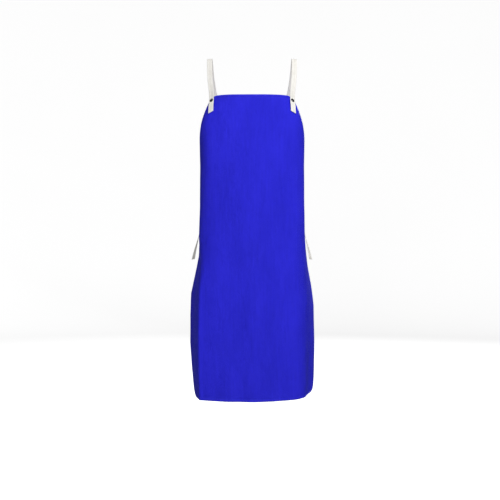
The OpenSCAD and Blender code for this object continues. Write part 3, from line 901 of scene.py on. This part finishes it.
def strap(left):
    """One strap in two lengths that meet on the shoulder: one comes up from the chest, the other
    runs over the back to the far buckle, through its bar, and ends in its own free tail."""
    name, far = ("left", "right") if left else ("right", "left")
    lift = np.zeros((len(END_POINTS) + len(BACK_POINTS), 3))
    lift[CROSSING, 1] = CROSSING_LIFT if left else 0.0
    near_points = np.array(END_POINTS + BACK_POINTS, float) + lift
    far_points = np.array(TAIL_POINTS, float) * MIRROR
    far_hints = -np.array(TAIL_HINTS, float) * MIRROR
    points = np.vstack([near_points, far_points])
    hints = np.vstack([np.array(END_HINTS + BACK_HINTS, float), far_hints])
    lower_end, plug = f"{name}_strap_lower_end", f"{far}_plug_and_tail"
    front, length, frames = webbing(
        f"{name}_strap_front", points, hints, 0, SHOULDER_U, left, cut=END_CUT
    )
    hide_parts(f"{name}_strap_end")
    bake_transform(front)
    bar_tacks(f"{name}_front_end_tacks", frames, (2, 3), left, lower_end, slant=END_SLANT)
    rear, _, frames = webbing(
        f"{name}_strap_rear", points, hints, SHOULDER_U, len(points) - 1, left, flat_from=length
    )
    bar_tacks(f"{far}_tail_tacks", frames, (-4, -6), left, plug)
    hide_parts(f"{name}_shoulder_strap", f"{far}_strap_tail")
    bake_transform(rear)


strap(True)
strap(False)


# The tab reaches this far in from the panel's edge, and lies this far behind its middle.
TAB_SEWN_IN = 30.0
TAB_OUT = -STACK_HALF - 2.3


def side_tab(left):
    """The webbing loop that is sewn inside the panel's edge and holds the buckle's housing."""
    name = "left" if left else "right"
    depth = -BUCKLE_ORIGIN[2] - BIB_DROP
    s_base, d_base = FLAT_HALF - TAB_SEWN_IN, depth + 0.9 * TAB_SEWN_IN
    low = [panel_point(s_base, d_base, TAB_OUT - STRAP_T * lap) for lap in (2.2, 0.5)]
    n = panel_normal(s_base, d_base)
    turn = [math.radians(a) for a in (-90, -45, 0, 45, 90)]
    points = (
        [low[0], on_buckle(0, RUN_OUT), on_buckle(TAB_BAR_Y - 8, -1.9)]
        + [on_buckle(TAB_BAR_Y + LOOP_R * math.cos(a), LOOP_R * math.sin(a)) for a in turn]
        + [on_buckle(TAB_BAR_Y - 8, 1.9), on_buckle(0, 0.9), low[1]]
    )
    hints = (
        [-n, -BUCKLE_OUT, -BUCKLE_OUT]
        + [math.cos(a) * BUCKLE_ALONG + math.sin(a) * BUCKLE_OUT for a in turn]
        + [BUCKLE_OUT, BUCKLE_OUT, n]
    )
    obj, _, _ = webbing(f"{name}_side_tab_webbing", points, hints, 0, len(points) - 1, left)
    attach(obj, "panel")
    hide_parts(f"{name}_side_tab")


# The box of stitches over a left side tab: its flat middle and direction, its half length and half
# width, the length of a stitch and the pitch of the row.
BOX_MIDDLE = np.array([283.0, 553.0])
BOX_ALONG = unit(np.array([30.0, -27.0]))
BOX_HALF = (9.0, 7.0)
BOX_STITCH = 2.0
BOX_PITCH = 2.7


def tab_stitches(left):
    """The box and cross of stitches that hold a side tab, as they show on the panel's face."""
    name, fold = ("left", 1.0) if left else ("right", -1.0)
    side = np.array([-BOX_ALONG[1], BOX_ALONG[0]])
    corner = [
        BOX_MIDDLE + BOX_ALONG * BOX_HALF[0] * i + side * BOX_HALF[1] * j
        for i, j in ((-1, -1), (1, -1), (1, 1), (-1, 1))
    ]
    runs = [(0, 1), (1, 2), (2, 3), (3, 0), (0, 2), (1, 3)]
    starts, ends = [], []
    for a, b in runs:
        reach = np.linalg.norm(corner[b] - corner[a])
        step = (corner[b] - corner[a]) / reach
        for at in np.arange(0.3, reach - 1.8, BOX_PITCH):
            starts.append(corner[a] + step * at)
            ends.append(corner[a] + step * (at + BOX_STITCH))
    starts, ends = np.array(starts), np.array(ends)
    height = np.full(len(starts), STACK_HALF + 0.06)
    spots = [panel_point(fold * q[:, 0], q[:, 1], height) for q in (starts, ends)]
    outs = panel_normal(fold * starts[:, 0], starts[:, 1])
    obj = capsules(f"{name}_tab_stitches", spots[0], spots[1], outs, STITCH_R)
    dress(obj, THREAD)
    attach(obj, "panel")


for on_left in (True, False):
    side_tab(on_left)
    tab_stitches(on_left)

# ---- Hard pieces: the CAD's own solids, with their edges eased -----------------------------------


def ease(node, material, width):
    """Rounds a CAD node's edges by a bevel and gives it its material."""
    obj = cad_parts[node]
    bevel = obj.modifiers.new("eased edges", "BEVEL")
    bevel.width = width * MM
    bevel.segments = 2
    bevel.limit_method = "ANGLE"
    bevel.angle_limit = math.radians(35)
    dress(obj, material)


for side_name in ("left", "right"):
    for part in ("snap_cap", "snap_socket", "snap_stud", "snap_post"):
        ease(f"{side_name}_{part}", ENAMEL, 0.15)
    for part in ("buckle_housing", "buckle_plug", "front_prong", "rear_prong"):
        ease(f"{side_name}_{part}", PLASTIC, 0.4)
    dress(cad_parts[f"{side_name}_snap_spring"], WIRE)

# ---- Stage ---------------------------------------------------------------------------------------

FLOOR_Z = -1.47
CAMERA_PLACE = (-0.0074, -3.33, -0.7058)
LENS = 64.9


def stage():
    """A pale round floor that curves up into a pale wall. It lights nothing but itself."""
    cove = [(5.0 + math.sin(a), 1 - math.cos(a)) for a in np.linspace(0, math.pi / 2, 12)]
    profile = [(0.4, 0.0), (1.5, 0.0), (3.0, 0.0)] + cove + [(6.0, 8.0)]
    turns = np.linspace(0, 2 * math.pi, 96, endpoint=False)
    points = [
        (r * math.cos(a), r * math.sin(a), FLOOR_Z + z) for r, z in profile for a in turns
    ]
    faces = grid_faces(len(profile), len(turns), close_cols=True) + [tuple(range(len(turns)))]
    mesh = bpy.data.meshes.new("studio_floor")
    mesh.from_pydata(points, [], faces)
    mesh.polygons.foreach_set("use_smooth", [True] * len(faces))
    obj = bpy.data.objects.new("studio_floor", mesh)
    bpy.context.scene.collection.objects.link(obj)
    n = Nodes("pale paper")
    tone = n.noise(n.place(), 1.5, detail=3.0)
    paper = n.finish(n.mix(tone, (0.86, 0.86, 0.86), (0.9, 0.9, 0.9)), n.remap(tone, 0, 1, 0.85, 0.95))
    n.shader.inputs["Emission Color"].default_value = (1.0, 1.0, 1.0, 1.0)
    n.shader.inputs["Emission Strength"].default_value = 0.62
    dress(obj, paper)
    obj.visible_diffuse = False
    obj.visible_glossy = False


def area_light(name, place, target, size, power):
    light = bpy.data.lights.new(name, "AREA")
    light.shape = "RECTANGLE"
    light.size, light.size_y = size
    light.energy = power
    obj = bpy.data.objects.new(name, light)
    obj.location = place
    obj.rotation_euler = (Vector(target) - Vector(place)).to_track_quat("-Z", "Y").to_euler()
    bpy.context.scene.collection.objects.link(obj)


def light_and_camera():
    """Soft light from the front and behind, and a camera about level with the panel's middle."""
    scene = bpy.context.scene
    world = bpy.data.worlds.new("studio")
    world.use_nodes = True
    world.node_tree.nodes["Background"].inputs["Color"].default_value = (1.0, 1.0, 1.0, 1.0)
    world.node_tree.nodes["Background"].inputs["Strength"].default_value = 0.26
    scene.world = world
    area_light("key", (1.55, -2.85, 1.35), (0, -0.1, -0.5), (1.3, 1.3), 106)
    area_light("fill", (-0.45, -3.5, 0.2), (0, -0.1, -0.7), (1.2, 2.0), 48)
    area_light("back", (1.0, 2.9, 1.3), (0, 0, -0.6), (1.2, 1.6), 78)
    scene.view_settings.view_transform = "Standard"
    scene.view_settings.look = "None"
    camera = bpy.data.cameras.new("camera")
    camera.sensor_width = 36.0
    camera.lens = LENS
    obj = bpy.data.objects.new("camera", camera)
    obj.location = CAMERA_PLACE
    obj.rotation_euler = (math.pi / 2, 0, 0)
    scene.collection.objects.link(obj)
    scene.camera = obj


stage()
light_and_camera()
